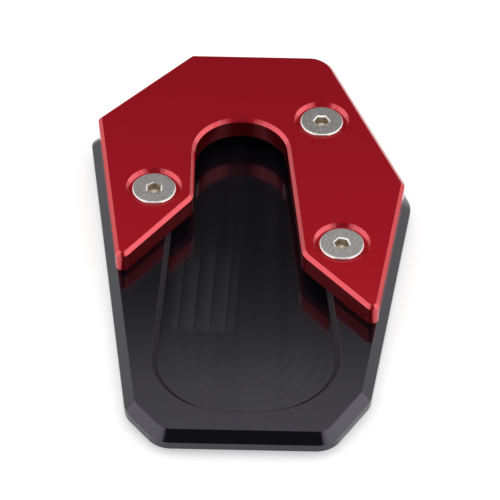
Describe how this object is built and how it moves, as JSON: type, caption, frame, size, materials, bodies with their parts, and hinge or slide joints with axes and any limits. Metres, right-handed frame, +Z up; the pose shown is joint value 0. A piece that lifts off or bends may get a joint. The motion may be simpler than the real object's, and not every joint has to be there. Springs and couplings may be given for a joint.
{
  "type": "kickstand foot enlarger",
  "caption": "Foot enlarger for a motorbike kickstand: a wide bevelled base plate with a shallow foot pocket and a slotted top plate screwed down on it.",
  "frame": {"origin": "centre of the overall box, on the flat underside of the base plate", "axes": "+Z up out of the base plate towards the top plate, +Y along the length towards the wide end that the top plate covers, -Y towards the narrow near end, +X to the right seen from above with +Y pointing away"},
  "size_m": [0.0732, 0.1172, 0.012],
  "materials": {
    "black_anodised": "black anodised, satin, with faint cutter marks",
    "red_anodised": "red anodised, satin",
    "screw_steel": "bare stainless steel, finely speckled"
  },
  "bodies": {
    "root": {"base_plate": "black_anodised", "top_plate": "red_anodised", "screws": "screw_steel"}
  },
  "joints": []
}
